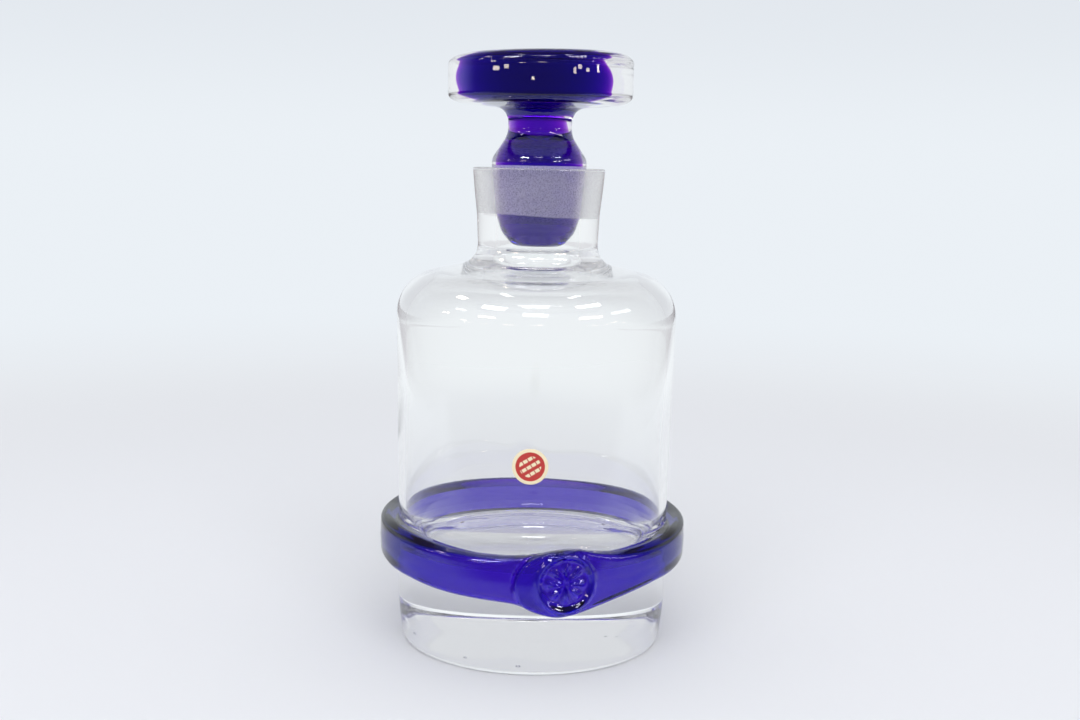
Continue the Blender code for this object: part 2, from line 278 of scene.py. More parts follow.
on_sheet = ground_y.rise(SHEET_FRONT - SHEET_FADE, SHEET_FRONT + SHEET_FADE) * (
    1 - aside.rise(SHEET_HALF_WIDTH - SHEET_FADE, SHEET_HALF_WIDTH + SHEET_FADE)
)
from_glass = ray_is(start, IS_GLOSSY) + ray_is(start, IS_TRANSMISSION)
room = mixed(ray_is(start, IS_TRANSMISSION), ROOM_REFLECTED, ROOM_REFRACTED)
room_glow = start.node("ShaderNodeEmission", None, {"Color": room})
surface = start.node(
    "ShaderNodeMixShader", None, {0: (1 - on_sheet) * from_glass, 1: paper, 2: room_glow}
)
start.node("ShaderNodeOutputMaterial", None, {"Surface": surface})

floor_mesh = bpy.data.meshes.new("floor")
floor_corners = []
for x, y in ((-1, -1), (1, -1), (1, 1), (-1, 1)):
    floor_corners.append((x * FLOOR_HALF, y * FLOOR_HALF, -FLOOR_DROP))
floor_mesh.from_pydata(floor_corners, [], [(0, 1, 2, 3)])
floor_mesh.materials.append(floor_paper)
floor = bpy.data.objects.new("floor", floor_mesh)
bpy.context.scene.collection.objects.link(floor)

# %% [markdown]
# ## The lamps
#
# A wide panel in front lights the floor evenly and draws the soft shadow. It would be a white
# patch in the glass, so neither mirrored rays nor rays through the glass see it.
#
# Each of the other lamps is here for the mark that it leaves on the glass. The bell lamp, high in
# front, draws the bright spot on the stopper's bell. The rest are seen only as reflections. Two
# soft boxes draw the wide streaks on the shoulder, thin boxes the fine white lines, and small ones
# the short streaks beside them. Small warm room lamps are the specks on the head. A vertical wall
# mirrors heights one to one, so the lamps whose specks sit on it are the low and very flat ones.

# %% The lamps
LAMP_AIM = Vector((0, 0, 0.12))
# These two: a place, a width, a height and a power in watts.
PANEL = ((0.0, -1.65, 1.6), 2.6, 1.9, 33.0)
BELL_LAMP = ((-0.02, -1.42, 1.98), 0.70, 0.30, 8.0)
WHITE = (1.0, 1.0, 1.0)
WARM = (1.0, 0.84, 0.66)
# Each mirrored lamp: its place, its width, its height and its glow, where 1 is the white of a sheet.
STUDIO_LAMPS = [
    ((-1.13, -1.28, 1.73), 0.75, 0.32, 30),
    ((1.28, -0.87, 1.88), 0.80, 0.26, 30),
    ((0.09, -1.32, 2.06), 1.20, 0.05, 10),
    ((0.12, -2.03, 1.31), 1.10, 0.04, 3),
    ((-1.91, -0.75, 1.26), 0.40, 0.15, 8),
    ((2.04, -0.42, 1.20), 0.80, 0.22, 6),
    ((-0.62, -0.16, 2.44), 0.45, 0.14, 12),
    ((0.77, -0.21, 2.39), 0.45, 0.14, 12),
]
ROOM_LAMPS = [
    ((-2.20, -0.40, 0.86), 0.26, 0.12, 21),
    ((-1.55, 0.04, 1.94), 0.38, 0.20, 22),
    ((-2.00, -1.17, 0.51), 0.23, 0.04, 15),
    ((-1.92, -1.31, 0.359), 0.34, 0.008, 16),
    ((-1.44, -1.68, 0.96), 0.60, 0.15, 21),
    ((-1.56, -1.73, 0.363), 0.22, 0.008, 14),
    ((-0.86, -2.16, 0.42), 0.35, 0.03, 15),
    ((0.05, -2.32, 0.445), 0.44, 0.03, 14),
    ((-0.37, -2.30, 0.341), 0.10, 0.006, 24),
    ((1.58, -1.50, 1.05), 0.80, 0.20, 22),
    ((2.09, -0.98, 0.52), 0.18, 0.04, 16),
    ((1.54, -1.75, 0.358), 0.14, 0.012, 14),
    ((1.73, -1.56, 0.366), 0.20, 0.010, 14),
    ((2.22, -0.68, 0.369), 0.14, 0.030, 20),
    ((1.98, -1.22, 0.359), 0.16, 0.008, 14),
]


def area_lamp(name, place, width, height, watts, colour=WHITE):
    """A rectangular lamp at a place, turned to face the carafe."""
    data = bpy.data.lights.new(name, "AREA")
    data.shape = "RECTANGLE"
    data.size = width
    data.size_y = height
    data.energy = watts
    data.color = colour
    lamp = bpy.data.objects.new(name, data)
    lamp.location = place
    lamp.rotation_euler = (LAMP_AIM - Vector(place)).to_track_quat("-Z", "Y").to_euler()
    bpy.context.scene.collection.objects.link(lamp)
    return lamp


def mirrored_lamp(name, place, width, height, glow, colour):
    """A lamp that is seen only as a reflection, so that it adds a mark and no daylight."""
    lamp = area_lamp(name, place, width, height, glow * math.pi * width * height, colour)
    lamp.visible_diffuse = False
    lamp.visible_transmission = False


bell_lamp = area_lamp("bell_lamp", *BELL_LAMP)
bell_lamp.visible_diffuse = False
panel = area_lamp("panel_in_front", *PANEL)
panel.visible_glossy = False
panel.visible_transmission = False
for number, lamp in enumerate(STUDIO_LAMPS):
    mirrored_lamp(f"studio_lamp_{number}", *lamp, WHITE)
for number, lamp in enumerate(ROOM_LAMPS):
    mirrored_lamp(f"room_lamp_{number}", *lamp, WARM)
print("mirrored lamps:", len(STUDIO_LAMPS) + len(ROOM_LAMPS))

# %% [markdown]
# ## Clear and ground glass
#
# A Principled shader with full transmission is glass, and its index of refraction bends the
# light. The stopper's casing gets a slightly greyer tint than the bottle.
#
# Round the mouth the bore and the plug are ground together with grit so that they seal. Ground
# glass is the same glass with a rough skin, so its material mixes the two. Grains of clear glass
# are left in it, and its lower edge is grainy and a little slanted, as hand grinding leaves it.

# %% The glass materials
GLASS_BEND = 1.52
CLEAR_TINT = (0.985, 0.99, 0.988)
CASING_TINT = (0.905, 0.905, 0.905)
RIM = 186.2 * MM
GROUND_FOOT = 168.4 * MM
GRAIN_PER_M = 2200.0
GRAIN_EDGE = 1.2 * MM
GRAIN_CLEAR = 0.5
CLEAR_GRAINS = (0.35, 0.8)
GRIND_BLEND = 0.2 * MM
GRIND_TILT = 0.055
GRIND_REACH = 2.2 * MM
# The tint of each ground face, and how much of its light comes through it.
BORE_MATT = ((0.99, 0.99, 0.995), 0.94)
PLUG_MATT = ((0.82, 0.79, 1.0), 0.58)
MATT_ROUGHNESS = 0.36


def glass_shader(start, tint, roughness=0.0, bend=GLASS_BEND, sent_on=1.0):
    """The signal of a Principled shader set as glass."""
    return start.node(
        "ShaderNodeBsdfPrincipled",
        None,
        {"Base Color": tint, "Roughness": roughness, "IOR": bend, "Transmission Weight": sent_on},
    )


def clear_glass(name, tint=CLEAR_TINT):
    """Polished glass."""
    material, start = new_material(name)
    start.node("ShaderNodeOutputMaterial", None, {"Surface": glass_shader(start, tint)})
    return material


def ground_glass(name, tint, sent_on):
    """Glass ground matt above GROUND_FOOT, with a grainy lower edge."""
    material, start = new_material(name)
    place = start.node("ShaderNodeTexCoord", output=OBJECT)
    across, deep, height = split(place)
    grain = {"Vector": place, "Scale": GRAIN_PER_M, "Detail": 2.0}
    grit = start.node("ShaderNodeTexNoise", None, grain)
    level = height + across * GRIND_TILT + (grit - 0.5) * GRAIN_EDGE
    above = level.rise(GROUND_FOOT - GRIND_BLEND, GROUND_FOOT + GRIND_BLEND)
    matt = glass_shader(start, tint, MATT_ROUGHNESS, sent_on=sent_on)
    share = above * (1 - GRAIN_CLEAR * grit.rise(*CLEAR_GRAINS))
    clear = glass_shader(start, CLEAR_TINT)
    skin = start.node("ShaderNodeMixShader", None, {0: share, 1: clear, 2: matt})
    start.node("ShaderNodeOutputMaterial", None, {"Surface": skin})
    return material


# %% [markdown]
# ## Meshes by hand
#
# Every piece is built from rings of points that are stitched together. Clear glass shows each
# flaw of its surface, so outlines come from corners with true rounds, made of short steps.

# %% Outlines
ARC_STEP = math.radians(6)


def rounded(corners, step=ARC_STEP):
    """Outline through corners of (x, z, radius), each but the ends rounded by an arc."""
    outline = []
    for index, (x, z, radius) in enumerate(corners):
        if radius == 0 or index in (0, len(corners) - 1):
            outline.append((x, z))
            continue
        corner = np.array((x, z))
        back = np.array(corners[index - 1][:2]) - corner
        on = np.array(corners[index + 1][:2]) - corner
        back_length, on_length = np.linalg.norm(back), np.linalg.norm(on)
        back, on = back / back_length, on / on_length
        half_angle = math.acos(float(np.clip(back @ on, -1, 1))) / 2
        reach = min(radius / math.tan(half_angle), back_length / 2, on_length / 2)
        centre = corner + (back + on) / np.linalg.norm(back + on) * reach / math.cos(half_angle)
        first, last = corner + back * reach - centre, corner + on * reach - centre
        start_angle = math.atan2(first[1], first[0])
        turn = (math.atan2(last[1], last[0]) - start_angle + math.pi) % math.tau - math.pi
        steps = max(2, math.ceil(abs(turn) / step))
        arc_radius = reach * math.tan(half_angle)
        for count in range(steps + 1):
            angle = start_angle + turn * count / steps
            outline.append(tuple(centre + arc_radius * np.array((math.cos(angle), math.sin(angle)))))
    return outline


def oval_edge(radius, height, across, up, first_deg, last_deg, steps=14):
    """Part of an oval as corners of (x, z, 0). Its widest point is at radius and height."""
    corners = []
    for angle in np.radians(np.linspace(first_deg, last_deg, steps + 1)):
        corners.append((radius - across + across * math.cos(angle), height + up * math.sin(angle), 0))
    return corners


def thickened(outline, longest):
    """The same outline with extra points, so that no step is longer than longest."""
    fine = [outline[0]]
    for (x0, z0), (x1, z1) in zip(outline, outline[1:]):
        steps = max(1, math.ceil(math.hypot(x1 - x0, z1 - z0) / longest))
        for count in range(1, steps + 1):
            share = count / steps
            fine.append((x0 + (x1 - x0) * share, z0 + (z1 - z0) * share))
    return fine


# %% Meshes from rings
BUBBLE_STEPS = 8
BUBBLE_SIDES = 12


def stitched(rings):
    """Mesh through rings of points. A ring of one point closes the surface."""
    body = bmesh.new()
    made = [[body.verts.new(point) for point in ring] for ring in rings]
    for lower, upper in zip(made, made[1:]):
        sides = max(len(lower), len(upper))
        for side in range(sides):
            after = (side + 1) % sides
            corners = [
                lower[side % len(lower)],
                lower[after % len(lower)],
                upper[after % len(upper)],
                upper[side % len(upper)],
            ]
            body.faces.new(list(dict.fromkeys(corners)))
    return body


def turned(outline, sides, shift=None):
    """Mesh of a shape turned about Z. shift moves a point of it a little, as a hand would."""
    rings = []
    for radius, height in outline:
        ring = []
        for side in range(sides if radius > 0 else 1):
            angle = math.tau * side / sides
            point = (radius * math.cos(angle), radius * math.sin(angle), height)
            ring.append(shift(*point) if shift else point)
        rings.append(ring)
    return stitched(rings)


def bubble(body, place, size, stretch=1.0):
    """Adds a small air bubble inside a glass mesh. Its faces look into the air."""
    steps = [math.pi * count / BUBBLE_STEPS for count in range(BUBBLE_STEPS + 1)]
    outline = [(size * math.sin(angle), size * stretch * math.cos(angle)) for angle in steps]
    outline[0], outline[-1] = (0, outline[0][1]), (0, outline[-1][1])
    small = turned(outline, BUBBLE_SIDES)
    bmesh.ops.translate(small, verts=small.verts, vec=place)
    mesh = bpy.data.meshes.new("bubble")
    small.to_mesh(mesh)
    small.free()
    body.from_mesh(mesh)
    bpy.data.meshes.remove(mesh)


# %% [markdown]
# A mesh becomes a piece when the frame knows two things about it: the body that it rides on, and
# the plain solids of the CAD that it stands for. The bottle and the casing get a second material,
# for the faces in their ground zone.

# %% From a mesh to a piece
SHARP_ANGLE = math.radians(50)


def piece(name, body, material, rides_on, slot, *replaced, ground=None, matt=None):
    """Makes an object of a bmesh and tells the frame what it rides on and stands for."""
    mesh = bpy.data.meshes.new(name)
    if ground:
        for face in body.faces:
            face.material_index = int(ground(face.calc_center_median()))
    body.to_mesh(mesh)
    body.free()
    mesh.shade_smooth()
    mesh.set_sharp_from_angle(angle=SHARP_ANGLE)
    mesh.materials.append(material)
    if ground:
        mesh.materials.append(ground_glass(name + "_ground", *matt))
    made = bpy.data.objects.new(name, mesh)
    bpy.context.scene.collection.objects.link(made)
    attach(made, rides_on)
    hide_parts(*replaced)
    print(f"{name}: {len(mesh.polygons)} faces")


# %% [markdown]
# ## The bottle
#
# A turned outline, from the middle of the underside up the outside, over the rim and down the
# inside. The outer radii are the measured ones, so the sides are not quite straight. The inside
# was blown, so its wall and its floor are a little uneven, and some bubbles stay in the base.

# %% The bottle
PLUG_RADIUS = 18.3 * MM
PLUG_SLOPE = 2.0 / 17.8
PLUG_END = 156.4 * MM
SEAT_GAP = 0.08 * MM
HEEL_UP = 14.0 * MM
FOOT_RADIUS = 53.4 * MM
CAVITY_RADIUS = 50.8 * MM
CAVITY_FLOOR = 38.5 * MM
CAVITY_ACROSS = 7.0 * MM
CAVITY_UP = 16.0 * MM
WALL_INSIDE = 51.7 * MM
UNEVEN_BELOW = 135 * MM
UNEVEN_WALL = 0.14 * MM
FLOOR_SWELL = 0.35 * MM
SWELL_X, SWELL_Y, SWELL_WIDTH = 4 * MM, -6 * MM, 15 * MM
FLOOR_RIPPLE = 0.06 * MM
RIPPLE_RADIUS = 45 * MM
BOTTLE_STEP = 3 * MM
BOTTLE_SIDES = 144
BUBBLE_FLATNESS = 0.5
# Each bubble in the base: x, y, z and its radius.
BUBBLES_MM = [
    (-4, -46, 2.6, 0.9),
    (-23, -40, 3.4, 0.7),
    (-42, -22, 6, 0.9),
    (27, -38, 12, 0.5),
    (31, -35, 11, 0.4),
]


def plug_radius(height):
    """The plug is a slow cone down to the foot of the ground zone."""
    return PLUG_RADIUS - PLUG_SLOPE * (RIM - max(height, GROUND_FOOT))


def uneven_inside(x, y, z):
    """Moves the points of the inner wall and floor as blowing leaves them."""
    radius, angle = math.hypot(x, y), math.atan2(y, x)
    if not CAVITY_FLOOR - 0.1 * MM < z < UNEVEN_BELOW or radius > WALL_INSIDE:
        return (x, y, z)
    wave = math.sin(2 * angle + 0.7 + z / (19 * MM))
    wave += 0.6 * math.sin(3 * angle - 1.1 - z / (11 * MM))
    fade = min(1, (UNEVEN_BELOW - z) / (15 * MM)) * min(1, radius / (30 * MM))
    out = 1 + UNEVEN_WALL * wave * fade / max(radius, MM)
    off_swell = math.hypot(x - SWELL_X, y - SWELL_Y)
    swell = FLOOR_SWELL * math.exp(-((off_swell / SWELL_WIDTH) ** 2))
    ripple = FLOOR_RIPPLE * math.sin(x / (6 * MM) + 1.0) * math.sin(y / (7 * MM))
    ripple *= max(0, 1 - radius / RIPPLE_RADIUS)
    return (x * out, y * out, z + swell + ripple)


bottle_outline = rounded(
    [
        (0, 0, 0),
        (51.0 * MM, 0, 0.6 * MM),
        (52.0 * MM, 1.5 * MM, 2.0 * MM),
        (FOOT_RADIUS, HEEL_UP, 60 * MM),
        (53.5 * MM, 50 * MM, 60 * MM),
        (54.1 * MM, 82 * MM, 60 * MM),
        (55.05 * MM, 142.7 * MM, 17.2 * MM),
        (23.2 * MM, 150.3 * MM, 8 * MM),
        (23.9 * MM, 168 * MM, 30 * MM),
        (25.8 * MM, RIM, 0.8 * MM),
        (plug_radius(RIM) + SEAT_GAP, RIM, 0.6 * MM),
        (plug_radius(GROUND_FOOT) + SEAT_GAP, GROUND_FOOT, 8 * MM),
        (plug_radius(GROUND_FOOT) + SEAT_GAP, 147.2 * MM, 7 * MM),
        (51.3 * MM, 139.5 * MM, 16.5 * MM),
        *oval_edge(CAVITY_RADIUS, CAVITY_FLOOR + CAVITY_UP, CAVITY_ACROSS, CAVITY_UP, 0, -90, 18),
        (0, CAVITY_FLOOR, 0),
    ]
)


def in_ground_bore(place):
    """True for the bore's ground zone and for the rim's top face."""
    in_bore = math.hypot(place.x, place.y) < plug_radius(place.z) + MM
    return place.z > GROUND_FOOT - GRIND_REACH and (in_bore or place.z > RIM - 0.4 * MM)


bottle_mesh = turned(thickened(bottle_outline, BOTTLE_STEP), BOTTLE_SIDES, uneven_inside)
for x, y, z, size in BUBBLES_MM:
    bubble(bottle_mesh, Vector((x, y, z)) * MM, size * MM, BUBBLE_FLATNESS)
piece(
    "bottle_glass",
    bottle_mesh,
    clear_glass("clear_glass"),
    "carafe_body",
    "clear_glass",
    "bottle",
    ground=in_ground_bore,
    matt=BORE_MATT,
)

# %% [markdown]
# ## The stopper
#
# The casing is clear glass with softly rounded edges, and its top is not quite level. The core
# is the same glass with a colour in it. Its surface must not bend the light, because the two were
# fused, so its index of refraction is 1 inside the casing's own glass. The colour is a volume:
# the farther the light goes through it, the deeper it gets.

# %% The stopper's casing
HEAD_RADIUS = 35.7 * MM
HEAD_TOP = 229.7 * MM
HEAD_UNDERSIDE = 210.2 * MM
WAIST_RADIUS = 12.4 * MM
WAIST_FOOT = 198.7 * MM
PLUG_TOP = 189.4 * MM
TOP_TILT = math.radians(1.3)
STOPPER_STEP = 2 * MM
CASING_SIDES = 128
CORE_SIDES = 96
CASING_BUBBLE_MM = (-30, -3, 216)


def tilted_top(x, y, z):
    """Tilts the head's top face a little, up to the right, and leaves the underside level."""
    share = min(1, max(0, (z - HEAD_UNDERSIDE) / (HEAD_TOP - HEAD_UNDERSIDE)))
    return (x, y, z + math.tan(TOP_TILT) * x * share)


casing_outline = rounded(
    [
        (0, PLUG_END, 0),
        (9.6 * MM, PLUG_END, 5.5 * MM),
        (14.3 * MM, 162.0 * MM, 9.0 * MM),
        (plug_radius(GROUND_FOOT), GROUND_FOOT, 9.0 * MM),
        (PLUG_RADIUS + PLUG_SLOPE * (PLUG_TOP - RIM), PLUG_TOP, 6.0 * MM),
        (WAIST_RADIUS, WAIST_FOOT, 9.0 * MM),
        (WAIST_RADIUS, HEAD_UNDERSIDE - 1.2 * MM, 6.5 * MM),
        *oval_edge(HEAD_RADIUS, HEAD_UNDERSIDE + 4.2 * MM, 7.5 * MM, 4.2 * MM, -90, 0),
        *oval_edge(HEAD_RADIUS, HEAD_TOP - 4.0 * MM, 8.2 * MM, 4.0 * MM, 0, 90),
        (0, HEAD_TOP, 0),
    ]
)


def on_ground_plug(place):
    """True for the part of the plug that is ground into the bore."""
    return GROUND_FOOT - GRIND_REACH < place.z < RIM + 0.3 * MM


casing_mesh = turned(thickened(casing_outline, STOPPER_STEP), CASING_SIDES, tilted_top)
bubble(casing_mesh, Vector(CASING_BUBBLE_MM) * MM, 0.25 * MM)
piece(
    "stopper_casing_glass",
    casing_mesh,
    clear_glass("casing_glass", CASING_TINT),
    "stopper",
    "casing_glass",
    "stopper_casing",
    ground=on_ground_plug,
    matt=PLUG_MATT,
)

# %% The cobalt core
# For the core and then the strap: how dense the colour is, and what light it lets through.
CORE_PER_M = 450.0
CORE_KEPT = (0.57, 0.0, 0.87)
STRAP_PER_M = 660.0
STRAP_KEPT = (0.38, 0.0, 0.89)
FUSED_BEND = 1.0
CORE_END_COVER = 0.5 * MM
CORE_WAIST_RADIUS = 7.6 * MM
CORE_DISC_RADIUS = 20.0 * MM
CORE_DISC_MIDDLE = 219.9 * MM
CORE_DISC_HALF = 9.0 * MM
CORE_OFF_CENTRE = -1.7 * MM
CORE_TILT = math.radians(1.6)


def cobalt(name, bend, per_m, kept):
    """Cobalt glass: a clear skin round a volume that takes away red and green."""
    material, start = new_material(name)
    volume = start.node("ShaderNodeVolumeAbsorption", None, {"Color": kept, "Density": per_m})
    skin = glass_shader(start, (1, 1, 1), bend=bend)
    start.node("ShaderNodeOutputMaterial", None, {"Surface": skin, "Volume": volume})
    return material


def off_centre_disc(x, y, z):
    """Shifts and tilts the core's disc, which sits a little to one side in the casing."""
    share = min(1, max(0, (z - WAIST_FOOT) / (HEAD_UNDERSIDE - WAIST_FOOT)))
    return (x + CORE_OFF_CENTRE * share, y, z - math.tan(CORE_TILT) * x * share)


core_outline = rounded(
    [
        (0, PLUG_END + CORE_END_COVER, 0),
        (7.4 * MM, PLUG_END + CORE_END_COVER, 4.5 * MM),
        (10.6 * MM, 163.5 * MM, 4.0 * MM),
        (11.2 * MM, PLUG_TOP, 6.0 * MM),
        (CORE_WAIST_RADIUS, WAIST_FOOT, 9.0 * MM),
        (CORE_WAIST_RADIUS, CORE_DISC_MIDDLE - CORE_DISC_HALF, 5.0 * MM),
        *oval_edge(CORE_DISC_RADIUS, CORE_DISC_MIDDLE, 6.0 * MM, CORE_DISC_HALF, -90, 90, 28),
        (0, CORE_DISC_MIDDLE + CORE_DISC_HALF, 0),
    ]
)
piece(
    "stopper_core_glass",
    turned(thickened(core_outline, STOPPER_STEP), CORE_SIDES, off_centre_disc),
    cobalt("core_glass", FUSED_BEND, CORE_PER_M, CORE_KEPT),
    "stopper",
    "core_glass",
    "stopper_core",
)

# %% [markdown]
# ## The strap and its seal
#
# The strap is one trail of cobalt glass. Its section changes on the way round, so it is made as a
# sweep: at each angle round the body a rounded section is drawn between the heights measured
# there, and the seal's relief is added to the outer face.

# %% The strap's measured edges, in degrees round from the front and millimetres up
STRAP_LOW = [
    (-180, 34.6), (-120, 34.6), (-77, 34.3), (-64, 33.3), (-49, 32.8), (-37, 31.8), (-28, 31.3),
    (-20, 31.0), (-12, 30.6), (-6, 30.2), (-3, 29.2), (0, 27.8), (3, 26.6), (9, 25.1), (14, 25.5),
    (22, 27.6), (30, 29.7), (40, 31.6), (51, 33.0), (63, 33.3), (77, 34.2), (120, 34.6), (180, 34.6),
]
STRAP_HIGH = [
    (-180, 50.3), (-120, 49.6), (-77, 48.0), (-60, 46.9), (-41, 45.5), (-24, 45.1), (-8.5, 45.5),
    (-3, 46.2), (4.7, 48.3), (9.8, 49.2), (17.4, 49.3), (25.5, 46.8), (32.6, 45.1), (42.5, 44.7),
    (58, 46.0), (66, 47.0), (90, 48.4), (120, 49.6), (180, 50.3),
]
STRAP_CONTACT = [
    (-180, 48.0), (-120, 48.6), (-71, 49.2), (-50, 48.2), (-32, 46.9), (-22, 46.3), (-9.5, 46.4),
    (-1.3, 47.0), (6.8, 48.2), (15, 49.2), (24, 47.7), (34, 46.5), (45, 46.9), (60, 47.5),
    (71, 48.6), (120, 48.6), (180, 48.0),
]
# Table values are evened out over these offsets in degrees, each with its weight.
EVENED = ((-3, 1), (-1.5, 2), (0, 3), (1.5, 2), (3, 1))
STRAP_DEPTH = 7.1 * MM
STRAP_GAP = 0.03 * MM
WALL_SLOPE = 0.1 / 36


def table_at(table, azimuth):
    """A smooth value between the entries of a table of (degrees, millimetres), in metres."""
    degrees = math.degrees(azimuth)
    angles, values = zip(*table)
    total = 0
    for offset, weight in EVENED:
        total += weight * float(np.interp((degrees + offset + 180) % 360 - 180, angles, values))
    return total / sum(weight for _, weight in EVENED) * MM


def body_radius(height):
    """Outer radius of the bottle's wall where the strap sits."""
    return FOOT_RADIUS + (height - HEEL_UP) * WALL_SLOPE


def smooth_step(value):
    """A smooth rise from 0 to 1, for a value from 0 to 1."""
    value = min(1, max(0, value))
    return value * value * (3 - 2 * value)


def bell(value):
    """1 at zero, falling off smoothly on both sides."""
    return math.exp(-(value**2))


# %% [markdown]
# The seal was stamped while soft: a dished field with a rosette in it, inside a raised ring. The
# gob spread to a rounded lobe. On its left it laps over the strap with a sharp groove, and on its
# right it runs smoothly into it.

# %% The seal's relief
SEAL_AZIMUTH = math.radians(12.0)
SEAL_HEIGHT = 38.2 * MM
LOBE_AZIMUTH = math.radians(8.0)
LOBE_HEIGHT = 37.0 * MM
LOBE_HALF_WIDTH = 14.3 * MM
LOBE_HALF_HEIGHT = 12.4 * MM
LOBE_RISE = 1.3 * MM
RING_RADIUS = 10.4 * MM
RING_RISE = 1.1 * MM
RING_WIDTH = 1.1 * MM
FIELD_DEPTH = 0.9 * MM
PETALS = 8
PETAL_RISE = 1.3 * MM
GROOVE_DEPTH = 1.2 * MM
GROOVE_WIDTH = 0.55 * MM


def relief(azimuth, height):
    """How far the stamped seal stands out of the strap's face."""
    face_radius = body_radius(height) + STRAP_DEPTH
    across, up = (azimuth - SEAL_AZIMUTH) * face_radius, height - SEAL_HEIGHT
    distance, angle = math.hypot(across, up), math.atan2(up, across)
    ring = RING_RISE * bell((distance - RING_RADIUS) / RING_WIDTH)
    field = -FIELD_DEPTH * smooth_step((RING_RADIUS - 0.6 * MM - distance) / (2 * MM))
    along = min(1, distance / (RING_RADIUS - 2.2 * MM))
    petals = PETAL_RISE * math.sin(math.pi * along)
    petals *= (0.5 + 0.5 * math.cos(PETALS * angle)) ** 1.5
    lobe_across = (azimuth - LOBE_AZIMUTH) * face_radius / LOBE_HALF_WIDTH
    lobe_up = (height - LOBE_HEIGHT) / LOBE_HALF_HEIGHT
    inside = (1 - math.hypot(lobe_across, lobe_up)) * (LOBE_HALF_WIDTH + LOBE_HALF_HEIGHT) / 2
    to_right = smooth_step((lobe_across - 0.2) / 0.6)
    lobe = LOBE_RISE * smooth_step(0.5 + inside / (0.8 * MM + 6 * MM * to_right) / 2)
    upper_left = smooth_step((-0.25 - lobe_across) / 0.3) * smooth_step((lobe_up + 0.25) / 0.35)
    groove = -GROOVE_DEPTH * bell((inside + 0.5 * MM) / GROOVE_WIDTH) * upper_left
    return ring + field + petals + lobe + groove


# %% The strap with its seal
SECTION_POINTS = 84
INNER_POINTS = 12
SECTION_ARC_STEP = math.radians(10)
FINE_STEP_DEG = 0.4
COARSE_STEP_DEG = 2.0
FINE_FROM_DEG, FINE_TO_DEG = -12, 34


def resampled(outline, count):
    """The same open outline with evenly spaced points."""
    points = np.array(outline)
    along = np.concatenate([[0], np.cumsum(np.linalg.norm(np.diff(points, axis=0), axis=1))])
    wanted = np.linspace(0, along[-1], count)
    return np.stack([np.interp(wanted, along, points[:, axis]) for axis in range(2)], axis=1)


def strap_section(azimuth):
    """Points of (depth, height), from the lower contact round the face to the upper contact."""
    tables = (STRAP_LOW, STRAP_HIGH, STRAP_CONTACT)
    low, high, contact = (table_at(table, azimuth) for table in tables)
    corners = [
        (0, low + 0.3 * MM, 0),
        (STRAP_DEPTH * 0.55, low - 0.9 * MM, 2.5 * MM),
        (STRAP_DEPTH, low + 0.2 * MM, 3.0 * MM),
        (STRAP_DEPTH + 0.25 * MM, (low + high) / 2, 20 * MM),
        (STRAP_DEPTH, high + 0.9 * MM, 2.6 * MM),
        (STRAP_DEPTH * 0.5, max(contact, high) + 0.6 * MM, 3.0 * MM),
        (0, contact, 0),
    ]
    return resampled(rounded(corners, SECTION_ARC_STEP), SECTION_POINTS)


def strap_ring(azimuth):
    """The closed section of the strap at one angle round the body."""
    section = strap_section(azimuth)
    deepest = section[:, 0].max()
    stations = []
    for depth, height in section:
        face = smooth_step((depth / deepest - 0.45) / 0.5)
        stations.append((depth + relief(azimuth, height) * face, height))
    for height in np.linspace(section[-1][1], section[0][1], INNER_POINTS + 2)[1:-1]:
        stations.append((0, height))
    ring = []
    for depth, height in stations:
        radius = body_radius(height) + STRAP_GAP + depth
        ring.append((radius * math.sin(azimuth), -radius * math.cos(azimuth), height))
    return ring


strap_rings = []
azimuth_deg = -180.0
while azimuth_deg < 180:
    strap_rings.append(strap_ring(math.radians(azimuth_deg)))
    in_seal = FINE_FROM_DEG <= azimuth_deg < FINE_TO_DEG
    azimuth_deg += FINE_STEP_DEG if in_seal else COARSE_STEP_DEG
strap_mesh = stitched([*strap_rings, strap_rings[0]])
bmesh.ops.remove_doubles(strap_mesh, verts=strap_mesh.verts, dist=0.001 * MM)
bmesh.ops.recalc_face_normals(strap_mesh, faces=strap_mesh.faces)
piece(
    "strap_and_seal_glass",
    strap_mesh,
    cobalt("strap_glass", GLASS_BEND, STRAP_PER_M, STRAP_KEPT),
    "carafe_body",
    "strap_glass",
    "strap",
    "seal",
)

# %% [markdown]
# ## The label
#
# A small round paper label: a red disc with slanting rows of plain dashes, inside a cream edge.
# The red has a slightly uneven outline, as print on a cheap label does. The back of the paper is
# plain, because the far side shows through the bottle.

# %% The paper label
LABEL_AZIMUTH = math.radians(-1.05)
LABEL_HEIGHT = 79.8 * MM
LABEL_RADIUS = 6.6 * MM
LABEL_RED_RADIUS = 5.35 * MM
LABEL_WALL_RADIUS = 54.06 * MM
LABEL_THICKNESS = 0.17 * MM
ROWS_TILT = math.radians(32)
ROW_STEP = 2.5 * MM
DASH_STEP = 2.0 * MM
# Where a row or a dash fades, as shares of its step.
ROW_EDGE = (0.22, 0.28)
DASH_EDGE = (0.38, 0.44)
FIELD_EDGE = (3.9 * MM, 4.0 * MM)
PRINT_BLUR = 0.1 * MM
FIBRES_PER_M = 2500.0
LABEL_SIDES = 72
CREAM = (0.80, 0.70, 0.48)
RED = (0.44, 0.029, 0.025)

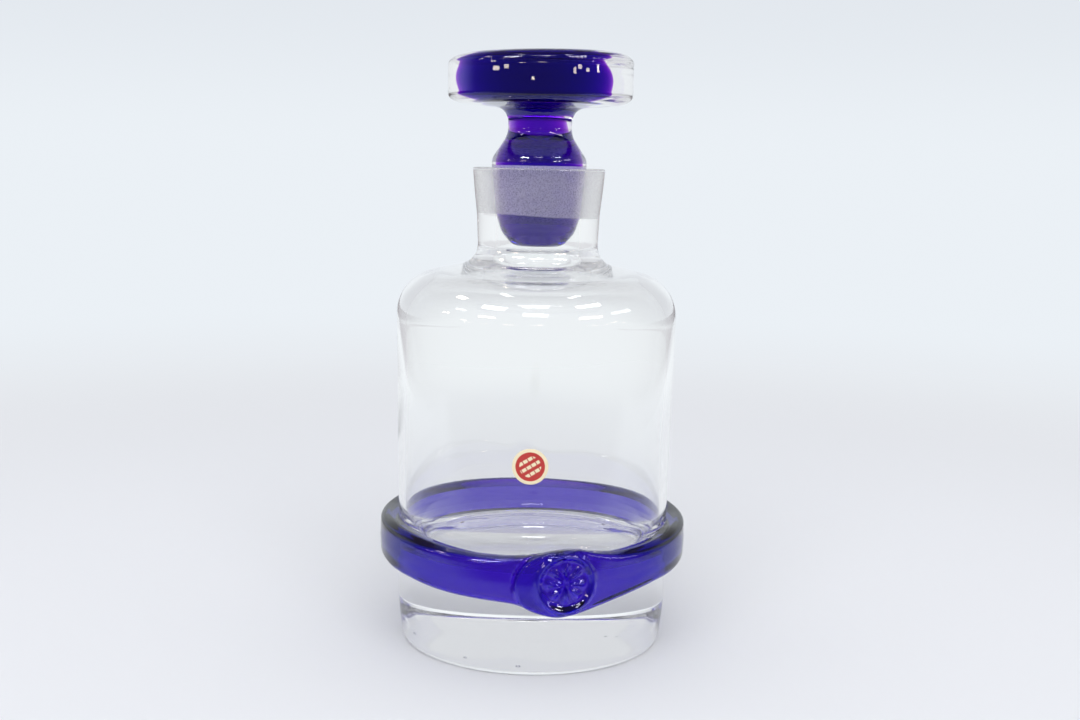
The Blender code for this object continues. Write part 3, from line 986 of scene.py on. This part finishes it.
label_paper, start = new_material("label_paper")
place = start.node("ShaderNodeTexCoord", output=OBJECT)
label_x, label_y, label_z = split(place)
across = label_x - LABEL_WALL_RADIUS * math.sin(LABEL_AZIMUTH)
up = label_z - LABEL_HEIGHT
texture = {"Vector": place, "Scale": FIBRES_PER_M, "Detail": 3.0}
fibres = start.node("ShaderNodeTexNoise", None, texture)
distance = length(across, up)
along = across * math.cos(ROWS_TILT) + up * math.sin(ROWS_TILT)
rows = up * math.cos(ROWS_TILT) - across * math.sin(ROWS_TILT) + (fibres - 0.5) * 0.3 * MM
row_place = rows.maths("PINGPONG", rows, ROW_STEP / 2)
dash_place = along.maths("PINGPONG", along + DASH_STEP / 4, DASH_STEP / 2)
in_rows = 1 - row_place.rise(*(share * ROW_STEP for share in ROW_EDGE))
in_dashes = 1 - dash_place.rise(*(share * DASH_STEP for share in DASH_EDGE))
in_field = 1 - distance.rise(*FIELD_EDGE)
marks = in_rows * in_dashes * in_field
uneven = distance + (fibres - 0.5) * 0.2 * MM
printed = 1 - uneven.rise(LABEL_RED_RADIUS - PRINT_BLUR, LABEL_RED_RADIUS + PRINT_BLUR)
cream = mixed(fibres, tuple(0.92 * value for value in CREAM), CREAM)
red = mixed(fibres, RED, tuple(1.12 * value for value in RED))
off_axis = length(label_x, label_y)
outside = off_axis.rise(LABEL_WALL_RADIUS + 0.06 * MM, LABEL_WALL_RADIUS + 0.1 * MM)
colour = mixed(outside * printed * (1 - marks), cream, red)
look = {"Base Color": colour, "Roughness": 0.5, "IOR": 1.45}
shader = start.node("ShaderNodeBsdfPrincipled", None, look)
start.node("ShaderNodeOutputMaterial", None, {"Surface": shader})


def label_ring(share, depth):
    """A ring of the label, at a share of its radius and a depth off the wall."""
    ring = []
    for side in range(LABEL_SIDES if share else 1):
        angle = math.tau * side / LABEL_SIDES
        azimuth = LABEL_AZIMUTH + share * LABEL_RADIUS * math.cos(angle) / LABEL_WALL_RADIUS
        radius = LABEL_WALL_RADIUS + depth
        height = LABEL_HEIGHT + share * LABEL_RADIUS * math.sin(angle)
        ring.append((radius * math.sin(azimuth), -radius * math.cos(azimuth), height))
    return ring


front = STRAP_GAP + LABEL_THICKNESS
label_stations = [(0, front), (0.4, front), (0.8, front), (0.98, front), (1, front - 0.05 * MM)]
label_stations += [(1, STRAP_GAP), (0.6, STRAP_GAP), (0, STRAP_GAP)]
label_mesh = stitched([label_ring(*station) for station in label_stations])
bmesh.ops.recalc_face_normals(label_mesh, faces=label_mesh.faces)
piece("label_paper_disc", label_mesh, label_paper, "carafe_body", "label_paper", "label")

# %% [markdown]
# ## The end
#
# Light crosses many glass walls here, front and back, so paths need more bounces than usual. That
# goes for glossy ones too, because light that is turned back inside the glass counts as glossy,
# and with too few of those its rims go black.

# %% The end: paths
GLASS_BOUNCES = 24
bpy.context.scene.cycles.max_bounces = GLASS_BOUNCES
bpy.context.scene.cycles.transmission_bounces = GLASS_BOUNCES
bpy.context.scene.cycles.glossy_bounces = GLASS_BOUNCES
